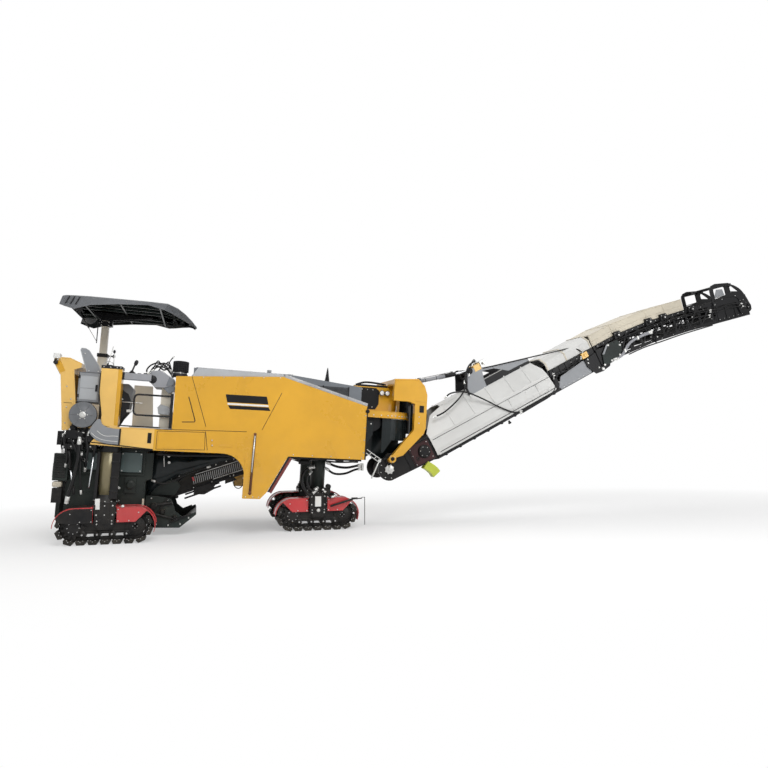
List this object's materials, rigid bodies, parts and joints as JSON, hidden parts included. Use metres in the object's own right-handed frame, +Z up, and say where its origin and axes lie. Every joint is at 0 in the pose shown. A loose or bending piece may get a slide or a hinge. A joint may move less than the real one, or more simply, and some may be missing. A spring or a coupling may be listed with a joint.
{
  "type": "cold planer milling machine",
  "caption": "Tracked cold planer with a milling drum between lifting legs, an open operator stand under a canopy, and a slewing, folding discharge conveyor in front.",
  "frame": {"origin": "centre of the bounding box in X and Y, on the ground under the tracks in Z", "axes": "+X forwards, towards the raised end of the discharge conveyor; +Y to the left of the machine; +Z up"},
  "size_m": [13.3372, 2.488, 4.7625],
  "materials": {
    "yellow_paint": "glossy",
    "grey_paint": "satin",
    "dark_grey_paint": "satin",
    "black_steel": "satin",
    "drum_housing_paint": "satin",
    "white_paint": "satin",
    "cream_paint": "satin",
    "beige_paint": "satin",
    "red_paint": "glossy",
    "cast_block": "matte",
    "track_steel": "matte",
    "drum_steel": "matte",
    "chrome_rod": "polished",
    "belt_rubber": "matte",
    "black_rubber": "satin",
    "black_plastic": "matte"
  },
  "bodies": {
    "chassis": {"main_frame": "black_steel", "side_panels": "yellow_paint", "engine_hood": "grey_paint", "engine": "cast_block", "front_mast": "yellow_paint", "transfer_curtain": "black_rubber", "primary_conveyor": "black_steel", "primary_belt": "belt_rubber", "drum_housing": "drum_housing_paint", "platform": "yellow_paint", "rear_cabinet": "yellow_paint", "corner_box": "yellow_paint", "locker_and_reel": "grey_paint", "stand_fittings": "black_plastic", "canopy_post": "beige_paint", "grilles_and_intakes": "black_plastic"},
    "lid": {"hood_lid": "grey_paint"},
    "scraper": {"scraper_door": "black_steel"},
    "side_blade": {"edge_plate": "dark_grey_paint"},
    "drum": {"milling_drum": "drum_steel"},
    "locker_leaf": {"locker_door": "grey_paint"},
    "roof": {"canopy": "dark_grey_paint"},
    "yoke": {"slew_yoke": "yellow_paint"},
    "lift_barrel": {"lift_barrels": "black_steel"},
    "lift_rod": {"lift_rods": "chrome_rod"},
    "conveyor_inner": {"conveyor_inner_frame": "black_steel", "conveyor_inner_covers": "white_paint", "conveyor_inner_belt": "belt_rubber", "fold_barrels": "black_steel"},
    "fold_rod": {"fold_rods": "chrome_rod"},
    "conveyor_outer": {"conveyor_outer_frame": "black_steel", "conveyor_outer_cover": "cream_paint", "conveyor_outer_belt": "belt_rubber"},
    "track_rear_right": {"leg_rear_right": "black_steel", "track_chain_rear_right": "track_steel", "track_guard_rear_right": "red_paint"},
    "track_rear_left": {"leg_rear_left": "black_steel", "track_chain_rear_left": "track_steel", "track_guard_rear_left": "red_paint"},
    "track_front_right": {"leg_front_right": "black_steel", "track_chain_front_right": "track_steel", "track_guard_front_right": "red_paint"},
    "track_front_left": {"leg_front_left": "black_steel", "track_chain_front_left": "track_steel", "track_guard_front_left": "red_paint"}
  },
  "joints": [
    {"name": "steer_rear_right", "type": "hinge", "parent": "chassis", "child": "track_rear_right", "pos_m": [-5.90956, -1.06, 0.588], "axis": [0.0558, 0, 0.9984], "range_deg": [-5, 5]},
    {"name": "steer_rear_left", "type": "hinge", "parent": "chassis", "child": "track_rear_left", "pos_m": [-5.90956, 1.06, 0.588], "axis": [0.0558, 0, 0.9984], "range_deg": [-5, 5]},
    {"name": "steer_front_right", "type": "hinge", "parent": "chassis", "child": "track_front_right", "pos_m": [-2.70956, -0.575, 0.588], "axis": [0.0558, 0, 0.9984], "range_deg": [-28, 28]},
    {"name": "steer_front_left", "type": "hinge", "parent": "chassis", "child": "track_front_left", "pos_m": [-2.70956, 0.575, 0.588], "axis": [0.0558, 0, 0.9984], "range_deg": [-28, 28]},
    {"name": "drum_spin", "type": "hinge", "parent": "chassis", "child": "drum", "pos_m": [-5.98478, -0.3, 0.62517], "axis": [0, 1, 0], "continuous": true},
    {"name": "slew", "type": "hinge", "parent": "chassis", "child": "yoke", "pos_m": [-1.34201, 0, 1.97812], "axis": [0.0558, 0, 0.9984], "range_deg": [-55, 55]},
    {"name": "lift", "type": "hinge", "parent": "yoke", "child": "conveyor_inner", "pos_m": [-1.38807, 0, 1.1544], "axis": [0, 1, 0], "range_deg": [-3, 22]},
    {"name": "lift_barrel_swing", "type": "hinge", "parent": "yoke", "child": "lift_barrel", "pos_m": [-0.83555, 0, 2.5277], "axis": [0, 1, 0], "range_deg": [-4.28, 31.04]},
    {"name": "lift_rod_slide", "type": "slide", "parent": "lift_barrel", "child": "lift_rod", "axis": [0.9774, 0, 0.2112], "range_m": [-0.07142, 0.51738]},
    {"name": "fold", "type": "hinge", "parent": "conveyor_inner", "child": "conveyor_outer", "pos_m": [2.98005, 0, 2.85482], "axis": [0, -1, 0], "range_deg": [-50, 0]},
    {"name": "fold_rod_slide", "type": "slide", "parent": "conveyor_inner", "child": "fold_rod", "axis": [0.8886, 0, 0.4587], "range_m": [-0.001, 0.102]},
    {"name": "canopy_height", "type": "slide", "parent": "chassis", "child": "roof", "axis": [0.0558, 0, 0.9984], "range_m": [-0.45, 0]},
    {"name": "locker_door_swing", "type": "hinge", "parent": "chassis", "child": "locker_leaf", "pos_m": [-6.32412, -1.1123, 2.27669], "axis": [-0.0558, 0, -0.9984], "range_deg": [0, 100]},
    {"name": "hood_lid_swing", "type": "hinge", "parent": "chassis", "child": "lid", "pos_m": [-3.20283, 0, 2.55289], "axis": [0, 1, 0], "range_deg": [0, 40]},
    {"name": "scraper_swing", "type": "hinge", "parent": "chassis", "child": "scraper", "pos_m": [-6.5834, 0, 1.11435], "axis": [0, 1, 0], "range_deg": [0, 60]},
    {"name": "side_blade_lift", "type": "slide", "parent": "chassis", "child": "side_blade", "axis": [0.0558, 0, 0.9984], "range_m": [0, 0.2]}
  ],
  "couplings": [
    {"joint": "steer_rear_left", "follows": "steer_rear_right", "ratio": 1},
    {"joint": "steer_front_left", "follows": "steer_front_right", "ratio": 1},
    {"joint": "lift_barrel_swing", "follows": "lift", "ratio": 1.4085},
    {"joint": "lift_rod_slide", "follows": "lift", "m_per_rad": 1.3448},
    {"joint": "fold_rod_slide", "follows": "fold", "m_per_rad": -0.11574}
  ]
}
